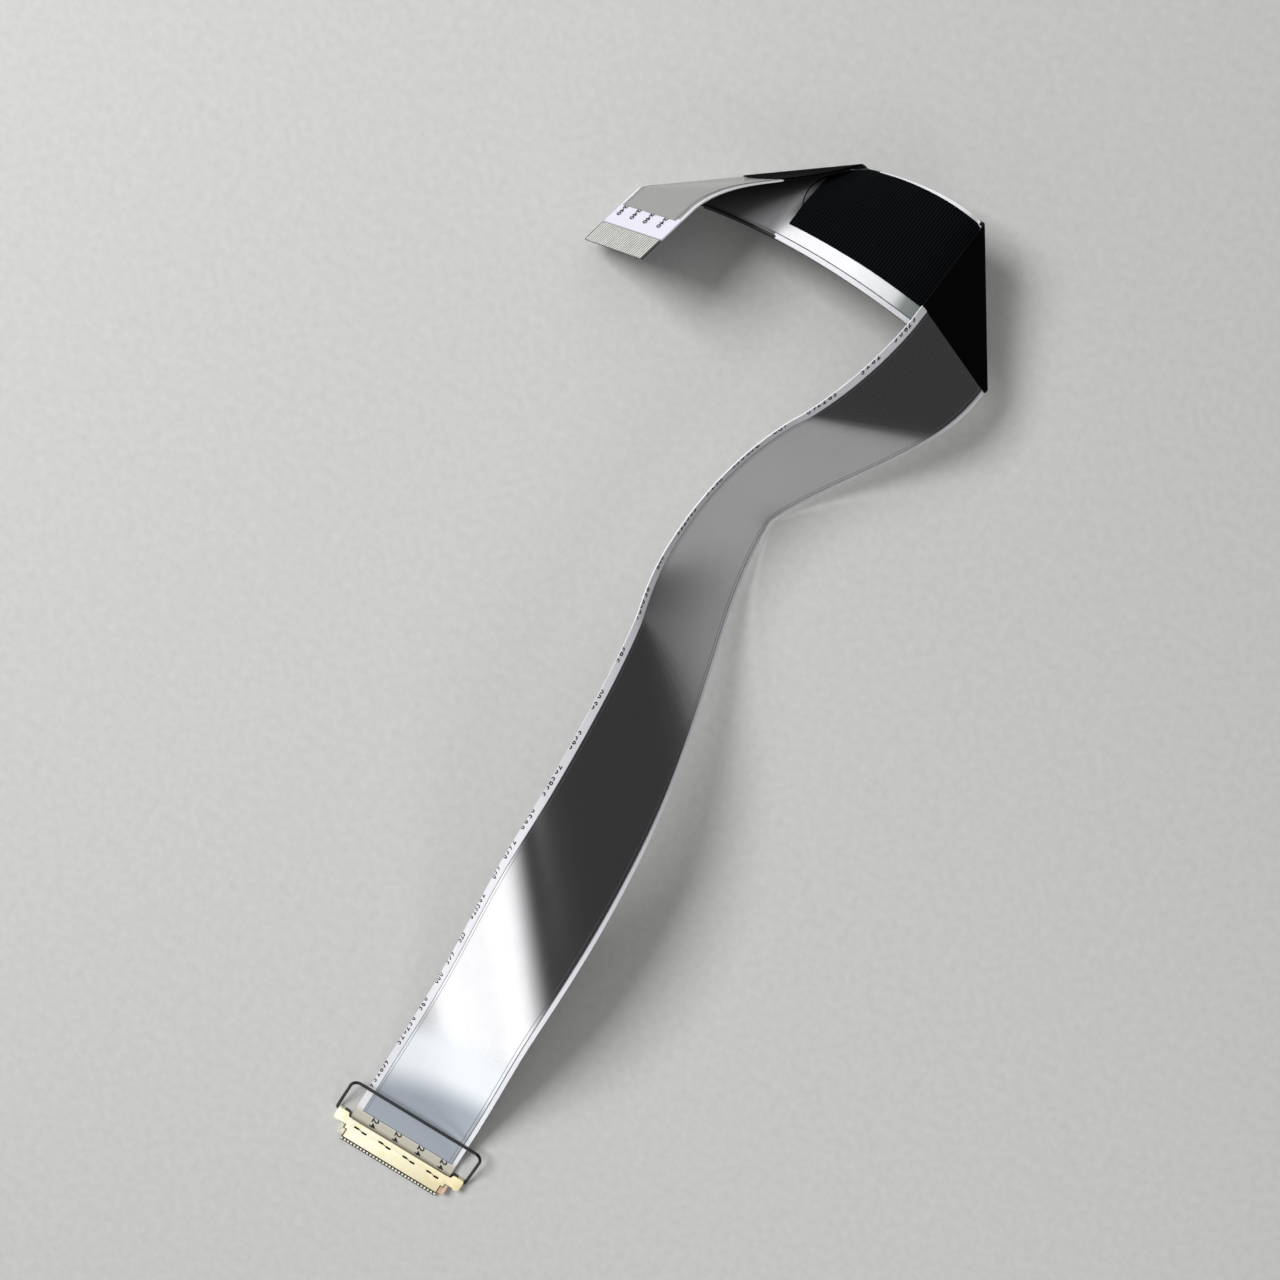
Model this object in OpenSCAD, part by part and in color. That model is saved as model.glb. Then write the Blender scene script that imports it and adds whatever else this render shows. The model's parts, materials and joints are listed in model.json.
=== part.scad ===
// Flat flex cable: a white ribbon with silver shield films, black cloth
// tapes round its two folds, a metal-shelled plug with a wire pull bar at
// one end and bare contact strips at the other.
//
// X runs across the contacts, +Y is the way the cable leaves the plug and
// the plug stands with its underside on Z = 0.  The ribbon is one flat
// strip bent along straight lines.  On the strip, s is the distance from
// the plug along the middle and v the distance across it; v < 0 is the
// printed edge.  Each bend line crosses the middle at s and leans forward
// by `lean` per millimetre of v, so every panel between two lines is flat.

/* [Contacts] */
// Number of contacts
contacts = 30; // [10:1:40]
// Contact pitch (mm)
pitch = 0.5; // [0.4:0.05:1]

/* [Ribbon] */
// Thickness of the white ribbon (mm)
ribbon_thick = 0.2; // [0.1:0.05:0.4]
// Length of the ribbon from the plug to the bare end (mm)
ribbon_length = 199.5; // [197:0.5:210]
// Depth of the ribbon inside the plug (mm)
ribbon_seat = 0.8; // [0.4:0.1:1.4]
// Thickness of each shield film (mm)
film_thick = 0.06; // [0.03:0.01:0.12]
// White margin left along the printed edge (mm)
print_margin = 1; // [0.5:0.05:2]
// White margin left along the other edge (mm)
plain_margin = 0.65; // [0.3:0.05:2]
// Distance from the plug to the shield films (mm)
film_start = 1.8; // [1:0.1:2]
// Distance of the shield films from the bare end (mm)
film_end_gap = 6.5; // [5:0.1:7.4]

/* [Bare end] */
// Length of the bare contact strips (mm)
strip_length = 3.2; // [2:0.1:4]
// Width of a bare contact strip (mm)
strip_width = 0.3; // [0.2:0.05:0.4]
// Height of a contact strip over the ribbon (mm)
strip_thick = 0.04; // [0.02:0.01:0.08]

/* [Folds] */
// Place of the first fold along the ribbon (mm)
fold1_at = 142; // [141.5:0.5:143]
// Place of the second fold along the ribbon (mm)
fold2_at = 177; // [176:0.5:178]
// Angle of the first fold (degrees)
fold1_turn = 169; // [167:1:172]
// Angle of the second fold (degrees)
fold2_turn = 169; // [167:1:172]

/* [Tapes] */
// Thickness of the cloth tapes (mm)
tape_thick = 0.14; // [0.08:0.02:0.2]
// Place where the ribbed tape ends along the ribbon (mm)
ribbed_end = 165; // [163:0.5:166]
// Length of the ribbed tape (mm)
ribbed_length = 16.8; // [12:0.2:17]
// Width of the ribbed tape (mm)
ribbed_width = 12.4; // [8:0.1:13]
// Pitch of the ribs of the ribbed tape (mm)
rib_pitch = 0.44; // [0.4:0.04:0.8]
// Height of a rib of the ribbed tape (mm)
rib_height = 0.05; // [0.03:0.01:0.08]
// Distance of the ribbed tape from the printed edge (mm)
ribbed_inset = 0.5; // [0.3:0.1:1.5]
// Distance of the wrap tape from the printed edge (mm)
wrap_inset = 0.1; // [0.1:0.1:1.5]
// Width of the wrap tape (mm)
wrap_width = 15.1; // [12:0.1:15.3]
// Start of the wrap tape along the ribbon (mm)
wrap_start = 134.5; // [134:0.5:135]
// Place where the wrap tape ends along the ribbon (mm)
wrap_end = 183; // [182:0.5:184]

/* [Plug] */
// Height of the plug (mm)
plug_height = 1.15; // [1:0.05:1.6]
// Depth of the plug body (mm)
plug_depth = 2.4; // [2.2:0.1:4]
// Thickness of the shell sheet (mm)
shell_thick = 0.15; // [0.1:0.01:0.2]
// Reach of the ears past the ends of the ribbon (mm)
ear_reach = 2; // [1.6:0.05:3]
// Reach of the ears towards the cable (mm)
ear_front = 0.7; // [0.6:0.05:1.2]
// Reach of the ears towards the mating side (mm)
ear_back = 0.85; // [0.7:0.05:1.1]
// Gap between an ear and the ribbon (mm)
ear_gap = 0.1; // [0.05:0.05:0.3]
// Reach of the sole under the ribbon (mm)
sole_front = 0.4; // [0.2:0.1:1]
// Reach of the contact nose (mm)
nose_reach = 0.85; // [0.7:0.05:1.2]
// Height of the floor under the plug contacts (mm)
nose_floor = 0.45; // [0.3:0.05:0.5]
// Height of the comb between the plug contacts (mm)
comb_height = 0.16; // [0.08:0.02:0.2]
// Width of a plug contact (mm)
finger_width = 0.28; // [0.2:0.02:0.36]
// Thickness of a plug contact (mm)
finger_thick = 0.12; // [0.08:0.02:0.16]
// Rise of a plug contact at its crest (mm)
finger_crest = 0.12; // [0.04:0.02:0.2]
// Depth of a plug contact inside the body (mm)
finger_seat = 0.3; // [0.2:0.05:0.6]
// Width of a latch lug (mm)
lug_width = 0.9; // [0.8:0.05:1.2]
// Depth of a latch lug (mm)
lug_depth = 1.4; // [1.2:0.05:1.5]
// Width of the slot between a latch lug and the shell (mm)
lug_gap = 0.15; // [0.08:0.01:0.2]
// Spacing of the S-shaped windows (mm)
window_spacing = 3.75; // [3:0.05:4]

/* [Pull bar] */
// Diameter of the wire (mm)
wire_dia = 0.42; // [0.3:0.02:0.5]
// Reach of the bar from its pivot (mm)
bar_reach = 5.3; // [5:0.1:8]
// Corner radius of the bar (mm)
bar_corner = 1.1; // [0.6:0.1:2]
// Side gap between the ears and the wire (mm)
bar_gap = 0.04; // [0.02:0.01:0.1]
// Clearance of the wire in its pivot holes (mm)
pivot_clear = 0.03; // [0.01:0.01:0.06]
// Depth of the pivot holes (mm)
pivot_depth = 0.9; // [0.5:0.1:1.4]
// Height of the pivot over the underside (mm)
pivot_height = 0.5; // [0.4:0.05:0.6]
// Distance of the pivot in front of the body (mm)
pivot_front = 0.3; // [0.2:0.05:0.4]
// Angle at which the bar rests over the ribbon (degrees)
bar_rest = 20; // [18:1:40]

/* [Hidden] */
$fn = 32;
eps = 0.0001;
ribbon_width = (contacts + 1) * pitch;
half = ribbon_width / 2;
row = (contacts - 1) * pitch;
ribbon_level = 0.65;               // middle of the ribbon at the plug
ear_end = half + ear_reach;        // outer face of an ear
ear_in = half + ear_gap;
plate_z = plug_height - shell_thick;
slot_low = ribbon_level - ribbon_thick / 2;
bar_x = ear_end + bar_gap + wire_dia / 2;
hole_dia = wire_dia + 2 * pivot_clear;
film_end = ribbon_length - film_end_gap;
lug_in = row / 2 + 0.15;           // inner side of a latch lug
lug_front = 1.5;                   // step of the body in front of a lug
nose_end = plug_depth + nose_reach;
comb_top = nose_floor + comb_height;
crest_at = plug_depth + 0.5;      // place of a contact's crest
crest_z = nose_floor + finger_crest;
tape_under = ribbon_thick / 2 + film_thick;
wrap_lean = 0.65;                  // how far the wrap's end line leans

// How the ribbon runs: lean of the bend lines and curl in degrees per
// millimetre, positive towards the printed side, each against s.
rise_lean = [[0, 0.2], [12, -1.2], [22, -1.1], [30, -1.2], [36, -1.4],
             [42, -1.4], [50, -1.1], [60, -1.4], [72, -1.3], [84, 0.2],
             [96, 0.8], [108, -0.7], [120, 0.8], [132, 0.1]];
rise_curl = [[0, 2.2], [12, 2.4], [22, 0.6], [30, -0.2], [36, -2.2],
             [42, -3.2], [50, -1.6], [60, -1], [72, -2], [84, 0.4],
             [96, 2.8], [108, 3.2], [120, -3], [132, -2.6]];
mid_lean = [[0, -1], [10, 0.2], [20, 0.9], [30, 1.4]];
mid_curl = [[0, -0.2], [10, 3.6], [20, 2.4], [30, 2]];
tail_lean = [[0, 1.6], [8, 0.6], [16, -0.4]];
tail_curl = [[0, 6.6], [8, -1.6], [16, -15]];
fold1_skew = -40;
fold2_skew = 56;

rise_from = 4;                     // first curved place
rise_to = 133;                     // last curved place before the tapes
after_fold = 2.5;                  // flat length past the middle of a fold
before_fold = 2;                   // flat length up to the middle of a fold
tail_to = 190;                     // last curved place
fold_step = 0.35;                  // spacing of the lines of a fold
function run(from, step, n, lean, curl, base = 0) =
    [for (i = [0 : n - 1]) let (s = from + i * step)
        [s, lookup(s - base, lean), lookup(s - base, curl) * step]];
function fold(at, skew, turn) =
    [for (i = [-2 : 2]) [at + fold_step * i, tan(skew), -turn / 5]];

rise_step = (rise_to - rise_from) / 43;
mid_step = (fold2_at - before_fold - fold1_at - after_fold) / 9;
tail_step = (tail_to - fold2_at - after_fold) / 9;
// Bend lines [s, lean, degrees], with flat lines at both ends.
lines = concat(
    [[-ribbon_seat - 1, 0, 0]],
    run(rise_from, rise_step, 44, rise_lean, rise_curl),
    [[rise_to + 1, 0, 0]],
    fold(fold1_at, fold1_skew, fold1_turn),
    run(fold1_at + after_fold, mid_step, 10, mid_lean, mid_curl, fold1_at),
    fold(fold2_at, fold2_skew, fold2_turn),
    run(fold2_at + after_fold, tail_step, 10, tail_lean, tail_curl, fold2_at),
    [[tail_to + 1.5, 0, 0], [ribbon_length + 1, 0, 0]]);
count = len(lines);

// Turns p about the unit direction k by a degrees.
function turned(p, k, a) =
    p * cos(a) + cross(k, p) * sin(a) + k * (k * p) * (1 - cos(a));
function unit(p) = p / norm(p);

// Frames: middle point, direction across, direction along, before and
// after each bend line.
frames = [for (i = 0, p = [0, lines[0][0], ribbon_level], x = [1, 0, 0], y = [0, 1, 0],
               r = [1, 0, 0], nx = x, ny = y;
               i < count;
               i = i + 1,
               p = i < count ? p + ny * (lines[i][0] - lines[i - 1][0]) : p,
               x = nx, y = ny,
               r = i < count ? x + y * lines[i][1] : x,
               nx = i < count ? turned(x, unit(r), lines[i][2]) : x,
               ny = i < count ? turned(y, unit(r), lines[i][2]) : y)
    let (u = cross(x, y), w = cross(nx, ny)) [p, r, (u + w) / (1 + u * w), w]];

// A place f among the bend lines (whole numbers lie on them), v across
// and d above the middle of the ribbon.
function mix(a, b, f) = a + (b - a) * f;
function line_s(f) = let (i = floor(f)) f == i ? lines[i][0] : mix(lines[i][0], lines[i + 1][0], f - i);
function line_lean(f) = let (i = floor(f)) f == i ? lines[i][1] : mix(lines[i][1], lines[i + 1][1], f - i);
function place(f, v, d) = let (i = floor(f), a = frames[i])
    f == i ? a[0] + a[1] * v + a[2] * d
    : let (b = frames[i + 1]) mix(a[0] + a[1] * v, b[0] + b[1] * v, f - i) + a[3] * d;
// The place among the bend lines of the point s, v of the flat strip.
function reach(i, v) = lines[i][0] + lines[i][1] * v;
function find(s, v) = let (hits = [for (i = [0 : count - 2])
        if (reach(i, v) <= s + eps && reach(i + 1, v) > s + eps) i], i = hits[0])
    let (f = (s - reach(i, v)) / (reach(i + 1, v) - reach(i, v))) f < eps ? i : i + f;
function between(a, b) = b - a > eps ? [for (i = [floor(a) + 1 : ceil(b) - 1]) i] : [];

// Span of v that a line at f has inside the start and end lines.
function low(f, va, s0, l0, s1, l1) = let (s = line_s(f), l = line_lean(f)) max(va,
    l - l0 > eps ? (s0 - s) / (l - l0) : va, l - l1 < -eps ? (s1 - s) / (l - l1) : va);
function high(f, vb, s0, l0, s1, l1) = let (s = line_s(f), l = line_lean(f)) min(vb,
    l - l0 < -eps ? (s0 - s) / (l - l0) : vb, l - l1 > eps ? (s1 - s) / (l - l1) : vb);

// A sheet from va to vb across and from d0 to d1 above the middle, cut
// off by the lines s0, lean0 and s1, lean1.
module sheet(va, vb, d0, d1, s0, s1, lean0 = 0, lean1 = 0) {
    a0 = find(s0 + lean0 * va, va);  b0 = find(s0 + lean0 * vb, vb);
    a1 = find(s1 + lean1 * va, va);  b1 = find(s1 + lean1 * vb, vb);
    m = max(a0, b0);
    w = min(a1, b1);
    c = [min(a0, b0), min(m, w), max(m, w), max(a1, b1)];
    at = concat([c[0]], between(c[0], c[1]), c[1] - c[0] > eps ? [c[1]] : [],
                between(c[1], c[2]), [c[2]],
                between(c[2], c[3]), c[3] - c[2] > eps ? [c[3]] : []);
    lo = [for (f = at) low(f, va, s0, lean0, s1, lean1)];
    hi = [for (f = at) high(f, vb, s0, lean0, s1, lean1)];
    n = len(at);
    wide = [for (k = [0 : n - 1]) hi[k] - lo[k] > 0.001];
    pts = [for (k = [0 : n - 1]) each [place(at[k], lo[k], d0), place(at[k], lo[k], d1),
                                       place(at[k], hi[k], d0), place(at[k], hi[k], d1)]];
    b = [for (k = [0 : n - 1]) wide[k] ? 4 * k + 2 : 4 * k];
    faces = [for (k = [0 : n - 2]) let (a = 4 * k, e = 4 * k + 4, q = b[k], r = b[k + 1]) each concat(
        wide[k + 1] ? [[a + 1, e + 1, r + 1], [a, r, e]] : [],
        wide[k] ? [[a + 1, r + 1, q + 1], [a, q, r]] : [],
        [[a + 1, a, e], [a + 1, e, e + 1], [q + 1, r, q], [q + 1, r + 1, r]])];
    z = 4 * (n - 1);
    polyhedron(pts, concat(faces,
        wide[0] ? [[1, 3, 2], [1, 2, 0]] : [],
        wide[n - 1] ? [[z + 1, z, z + 2], [z + 1, z + 2, z + 3]] : []));
}

module box(x0, x1, y0, y1, z0, z1) {
    translate([x0, y0, z0]) cube([x1 - x0, y1 - y0, z1 - z0]);
}

module ribbon() {
    color([0.93, 0.93, 0.95])
    sheet(-half, half, -ribbon_thick / 2, ribbon_thick / 2, -ribbon_seat, ribbon_length);
}

module shield_top() {
    color([0.75, 0.77, 0.8])
    sheet(-half + print_margin, half - plain_margin,
          ribbon_thick / 2, tape_under, film_start, film_end);
}

module shield_under() {
    color([0.75, 0.77, 0.8])
    sheet(-half + print_margin, half - plain_margin,
          -tape_under, -ribbon_thick / 2, film_start, film_end);
}

module contact_strips() {
    color([0.72, 0.72, 0.7])
    for (i = [0 : contacts - 1]) let (v = -row / 2 + i * pitch)
        sheet(v - strip_width / 2, v + strip_width / 2,
              ribbon_thick / 2, ribbon_thick / 2 + strip_thick,
              ribbon_length - strip_length, ribbon_length);
}

module tape_wrap() {
    color([0.07, 0.07, 0.08])
    sheet(-half + wrap_inset, -half + wrap_inset + wrap_width,
          tape_under, tape_under + tape_thick, wrap_start, wrap_end, 0, wrap_lean);
}

// The ribbed tape: a sheet with a row of narrow ribs across it.
module tape_ribbed() {
    va = -half + ribbed_inset;
    vb = va + ribbed_width;
    outer = -tape_under - tape_thick;
    start = ribbed_end - ribbed_length;
    color([0.05, 0.06, 0.07]) {
        sheet(va, vb, outer, -tape_under, start, ribbed_end);
        for (i = [0 : floor(ribbed_length / rib_pitch - 0.6)])
            let (s = start + (i + 0.6) * rib_pitch)
                sheet(va + 0.1, vb - 0.1, outer - rib_height, outer + 0.02,
                      s - rib_pitch / 4, s + rib_pitch / 4);
    }
}

module pivots(dia, x0) {
    for (m = [0, 1]) mirror([m, 0, 0])
        translate([x0, pivot_front, pivot_height]) rotate([0, 90, 0])
            cylinder(d = dia, h = ear_end - x0 + 1);
}

// A profile drawn in Y and Z, drawn out from x0 to x1.
module bar_of(x0, x1) {
    translate([x0, 0, 0]) rotate([90, 0, 90]) linear_extrude(x1 - x0) children();
}

// Points of an arc round [y, z] from angle a to b.
function arc(y, z, r, a, b, n = 6) =
    [for (i = [0 : n]) [y + r * cos(mix(a, b, i / n)), z + r * sin(mix(a, b, i / n))]];

module rounded(r) {
    offset(r = r, $fn = 24) offset(delta = -r) children();
}

// Plan of the right ear, with the shoulder that steps back to the body.
module ear_plan() {
    rounded(0.2) polygon([[half - 0.5, -ear_back], [half - 0.5, 0.2], [ear_in + 0.1, 0.2],
        [ear_in + 0.3, ear_front], [ear_end, ear_front], [ear_end, -ear_back]]);
}

// Plan of the folded-down wall round the end of the right ear.
module wall_plan() {
    intersection() {
        difference() {
            ear_plan();
            offset(delta = -shell_thick) ear_plan();
        }
        translate([ear_end - 0.9, -2]) square([2, 4]);
    }
}

// Plan of the body: full width in front of the lugs and narrower between.
module body_plan() {
    polygon([[-lug_in, -plug_depth], [-lug_in, -lug_front], [-ear_in, -lug_front], [-ear_in, 0],
             [ear_in, 0], [ear_in, -lug_front], [lug_in, -lug_front], [lug_in, -plug_depth]]);
}

module plug_housing() {
    color([0.16, 0.14, 0.12])
    difference() {
        union() {
            linear_extrude(plate_z) {
                body_plan();
                for (m = [0, 1]) mirror([m, 0, 0]) intersection() {
                    difference() {
                        ear_plan();
                        wall_plan();
                    }
                    translate([ear_in - 0.05, -2]) square([3, 4]);
                }
            }
            box(-half, half, -0.01, sole_front, 0, slot_low);
            // The nose: chamfered below and rounded above.
            bar_of(-lug_in, lug_in) polygon(concat(
                [[-plug_depth + 0.01, 0], [-nose_end + 0.15, 0], [-nose_end, 0.15]],
                arc(-nose_end + 0.12, comb_top - 0.12, 0.12, 180, 90, 4),
                [[-plug_depth + 0.01, comb_top]]));
        }
        box(-half, half, -ribbon_seat, 1, slot_low, slot_low + ribbon_thick);
        for (i = [0 : contacts - 1]) let (x = -row / 2 + i * pitch)
            box(x - finger_width / 2, x + finger_width / 2,
                -nose_end + 0.1, -plug_depth + finger_seat, nose_floor, comb_top + 0.01);
        pivots(hole_dia, ear_end - pivot_depth);
    }
}

// One S-shaped window: two dashes joined by a thin slanted cut.
module s_window() {
    for (m = [0, 1]) rotate(180 * m) {
        translate([0.25, -0.16]) square([0.72, 0.2]);
        polygon([[0.3, -0.14], [0, -0.04], [0, 0.04], [0.3, -0.02]]);
    }
}

// Plan of the shell's top, stepped round the two lugs.
module shell_plan() {
    polygon([for (m = [1, -1]) for (p = m > 0
        ? [[lug_in - lug_gap, -plug_depth + 0.05], [lug_in - lug_gap, -lug_front + lug_gap],
           [ear_in - lug_gap, -lug_front + lug_gap], [ear_in - lug_gap, 0]]
        : [[ear_in - lug_gap, 0], [ear_in - lug_gap, -lug_front + lug_gap],
           [lug_in - lug_gap, -lug_front + lug_gap], [lug_in - lug_gap, -plug_depth + 0.05]])
        [m * p[0], p[1]]]);
    for (m = [0, 1]) mirror([m, 0, 0]) ear_plan();
}

module plug_shell() {
    color([0.86, 0.74, 0.42])
    difference() {
        union() {
            translate([0, 0, plate_z]) linear_extrude(shell_thick) shell_plan();
            for (m = [0, 1]) mirror([m, 0, 0]) {
                translate([0, 0, 0.1]) linear_extrude(plate_z - 0.1 + 0.01) wall_plan();
                // Small lip bent up at the back of the ear.
                bar_of(ear_end - 0.85, ear_end - 0.25) polygon([
                    [-ear_back, plate_z], [-ear_back - 0.12, plate_z + 0.06],
                    [-ear_back - 0.12, plug_height], [-ear_back, plug_height]]);
            }
            // Front edge rolled down over the ribbon.
            bar_of(-half + 0.1, half - 0.1) polygon(concat([[-0.01, plate_z]],
                arc(0, plate_z, shell_thick, 0, 90), [[-0.01, plug_height]]));
            // Back edge folded down over the body.
            bar_of(-lug_in + lug_gap, lug_in - lug_gap) polygon(concat(
                [[-plug_depth + 0.06, plug_height]],
                arc(-plug_depth + 0.05, plate_z - 0.05, shell_thick + 0.05, 90, 180),
                [[-plug_depth - shell_thick, plate_z - 0.2], [-plug_depth, plate_z - 0.2],
                 [-plug_depth, plate_z], [-plug_depth + 0.06, plate_z]]));
        }
        for (i = [-1.5 : 1.5]) translate([i * window_spacing, -0.65, 0])
            linear_extrude(3) s_window();
        pivots(hole_dia, ear_end - pivot_depth);
    }
}

// Bent spring contacts: flat in the body, rising to a crest and turning
// down in front of it.
module plug_contacts() {
    color([0.9, 0.82, 0.6])
    for (i = [0 : contacts - 1]) let (x = -row / 2 + i * pitch, z = nose_floor)
        bar_of(x - finger_width / 2, x + finger_width / 2) polygon(concat(
            [[-plug_depth + finger_seat, z], [-plug_depth + finger_seat, z + finger_thick],
             [-plug_depth - 0.1, z + finger_thick]],
            arc(-crest_at, crest_z - 0.16, 0.16 + finger_thick, 60, 150, 5),
            [[-crest_at - 0.2, z]]));
}

// Hold-down lugs beside the body, each with a dimple along its top.
module latch_lugs() {
    color([0.85, 0.66, 0.5])
    for (m = [0, 1]) mirror([m, 0, 0]) difference() {
        translate([0, 0, 0.05]) linear_extrude(plug_height - 0.1) difference() {
            rounded(0.08) polygon([[lug_in, -lug_front - lug_depth + 0.5], [lug_in, -lug_front],
                [ear_in, -lug_front], [ear_in, -ear_back - 0.12], [lug_in + lug_width, -ear_back - 0.12],
                [lug_in + lug_width, -lug_front - lug_depth + 0.5]]);
            body_plan();
        }
        bar_of(lug_in + 0.2, lug_in + lug_width - 0.2)
            translate([-lug_front - 0.3, plug_height + 0.12]) circle(r = 0.25, $fn = 24);
    }
}

// The wire: a straight bar, two rounded corners, two legs and two pivot
// ends that turn inwards.
module pull_bar() {
    r = bar_corner;
    y = bar_reach;
    color([0.25, 0.25, 0.27])
    translate([0, pivot_front, pivot_height]) rotate([bar_rest, 0, 0]) {
        translate([0, y, 0]) rotate([0, 90, 0])
            cylinder(d = wire_dia, h = 2 * (bar_x - r), center = true);
        for (m = [0, 1]) mirror([m, 0, 0]) {
            translate([bar_x - r, y - r, 0]) rotate_extrude(angle = 90)
                translate([r, 0]) circle(d = wire_dia);
            translate([bar_x, 0.3, 0]) rotate([-90, 0, 0])
                cylinder(d = wire_dia, h = y - r - 0.3);
            translate([bar_x - 0.3, 0.3, 0]) rotate(-90) rotate_extrude(angle = 90)
                translate([0.3, 0]) circle(d = wire_dia);
            translate([ear_end - pivot_depth + 0.1, 0, 0]) rotate([0, 90, 0])
                cylinder(d = wire_dia, h = bar_x - 0.3 - ear_end + pivot_depth - 0.1);
        }
    }
}

ribbon();
shield_top();
shield_under();
contact_strips();
tape_wrap();
tape_ribbed();
plug_housing();
plug_shell();
plug_contacts();
latch_lugs();
pull_bar();
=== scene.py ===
"""Looks of the flat flex cable: the folded ribbon with its shield films,
tapes and print, the gold plug with its pull bar, and the studio round them.
"""

import json
import math
import random

import bmesh
import bpy
import numpy as np
from bpy.props import FloatProperty, FloatVectorProperty, IntProperty, PointerProperty
from bpy.types import Operator, Panel, PropertyGroup
from mathutils import Euler, Matrix, Vector

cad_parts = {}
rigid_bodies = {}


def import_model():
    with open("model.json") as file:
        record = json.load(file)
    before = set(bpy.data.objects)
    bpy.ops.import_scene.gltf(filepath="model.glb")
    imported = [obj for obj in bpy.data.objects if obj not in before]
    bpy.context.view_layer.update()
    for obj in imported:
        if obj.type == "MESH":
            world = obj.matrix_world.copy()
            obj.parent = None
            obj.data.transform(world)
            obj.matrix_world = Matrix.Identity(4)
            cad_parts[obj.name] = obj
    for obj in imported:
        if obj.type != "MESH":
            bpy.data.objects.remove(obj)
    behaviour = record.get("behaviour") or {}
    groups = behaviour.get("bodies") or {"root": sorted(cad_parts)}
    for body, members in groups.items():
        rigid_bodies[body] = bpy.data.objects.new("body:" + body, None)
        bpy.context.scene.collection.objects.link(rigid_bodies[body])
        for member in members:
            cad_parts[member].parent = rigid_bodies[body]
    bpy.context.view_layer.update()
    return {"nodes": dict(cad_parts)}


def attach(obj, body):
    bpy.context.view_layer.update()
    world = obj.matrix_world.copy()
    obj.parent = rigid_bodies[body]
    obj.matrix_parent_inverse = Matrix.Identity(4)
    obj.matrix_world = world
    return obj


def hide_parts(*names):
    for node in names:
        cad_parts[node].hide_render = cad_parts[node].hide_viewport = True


bl_info = {
    "name": "Flat Flex Cable",
    "version": (1, 0, 0),
    "blender": (4, 5, 0),
    "location": "View3D > Sidebar > Flex Cable",
    "description": "Builds the looks of a flat flex cable round its packed frame",
    "category": "Object",
}

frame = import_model()
NODES = frame["nodes"]
MM = 0.001

# The ribbon's route in millimetres, the same as the part's: lean and curl of
# the bend lines against the place s along the ribbon.
RISE_LEAN = [(0, 0.2), (12, -1.2), (22, -1.1), (30, -1.2), (36, -1.4),
             (42, -1.4), (50, -1.1), (60, -1.4), (72, -1.3), (84, 0.2),
             (96, 0.8), (108, -0.7), (120, 0.8), (132, 0.1)]
RISE_CURL = [(0, 2.2), (12, 2.4), (22, 0.6), (30, -0.2), (36, -2.2),
             (42, -3.2), (50, -1.6), (60, -1), (72, -2), (84, 0.4),
             (96, 2.8), (108, 3.2), (120, -3), (132, -2.6)]
MID_LEAN = [(0, -1), (10, 0.2), (20, 0.9), (30, 1.4)]
MID_CURL = [(0, -0.2), (10, 3.6), (20, 2.4), (30, 2)]
TAIL_LEAN = [(0, 1.6), (8, 0.6), (16, -0.4)]
TAIL_CURL = [(0, 6.6), (8, -1.6), (16, -15)]
FOLD_1, FOLD_1_SKEW, FOLD_1_TURN = 142, -40, 169
FOLD_2, FOLD_2_SKEW, FOLD_2_TURN = 177, 56, 169
RISE_START, RISE_STEP, RISE_BENDS = 4, 3, 44
RISE_END = 134  # flat from here to the first fold
PANEL_BENDS = 10  # bend lines of the route between the folds, and past them
PAST_FOLD, BEFORE_FOLD = 2.5, 2.0  # flat lengths left beside a fold
TAIL_END, TAIL_FLAT = 190, 191.5  # last bend, and flat from there on
FINER = 3  # bend lines drawn for each one of the route
END_FAN = 0.6  # spacing of the lines that share the first and the last bend
FOLD_LINES = 15  # bend lines round each fold
FOLD_REACH = 0.875  # half the length that a fold bends over
PATH_STEPS = 400  # steps of the path along the ribbon's middle

# Sizes in millimetres on the flat ribbon. Its middle is 0 across, and the
# printed edge is on the negative side.
RIBBON_LEVEL = 0.65  # middle of the ribbon at the plug, over the underside
SEAT = 0.8  # ribbon inside the plug
PRINT_MARGIN, PLAIN_MARGIN = 1, 0.65  # white rims beside the shield films
FILM_START, FILM_END_GAP = 1.8, 6.5  # films, from the plug and from the bare end
STRIP_LENGTH, STRIP_WIDTH, STRIP_THICK = 3.2, 0.3, 0.04  # bare contact strips
WRAP_START, WRAP_END, WRAP_LEAN = 134.5, 178.6, 0.15  # tape round the folds
TEAR_STEP, TEAR_CUTS = 0.38, 40  # teeth of its torn end
RIBBED_START, RIBBED_END, RIB_LEAN = 148.2, 168.5, 0.088  # ribbed cloth tape
RIBBED_NEAR, RIBBED_FAR = 0.5, 2.6  # rims left beside it
RIB_HEIGHT, RIB_CUTS = 0.05, 6  # a rib, and the cuts that shape each one
THREAD_PITCH = 0.3  # threads across the ribs
MARKS_START, MARKS_END = 5.0, 133  # row of marks along the printed edge
INK_THICK, LINE_THICK = 0.015, 0.008
WINDOW_SPACING = 3.75  # between the S-shaped windows of the shell

# Stretches (from, to) of the ribbon's rims, outside a place across it, that
# the tape round the folds turns over, or that lie dark or pale beside it.
RIM_ZONES = ((134.5, 148.6, -7.4, (0.002, 0.002, 0.002, 1)),
             (163.5, 177.6, -6.9, (0.002, 0.002, 0.002, 1)),
             (134.5, 135.6, 7.3, (0.002, 0.002, 0.002, 1)),
             (177.8, 192.6, -6.7, (0.3, 0.3, 0.29, 1)),
             (177.8, 192.6, -7.4, (0.78, 0.78, 0.82, 1)),
             (169.3, 188.5, 7.05, (0.1, 0.1, 0.105, 1)),
             (169.0, 188.5, 7.45, (0.004, 0.004, 0.004, 1)))

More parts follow.
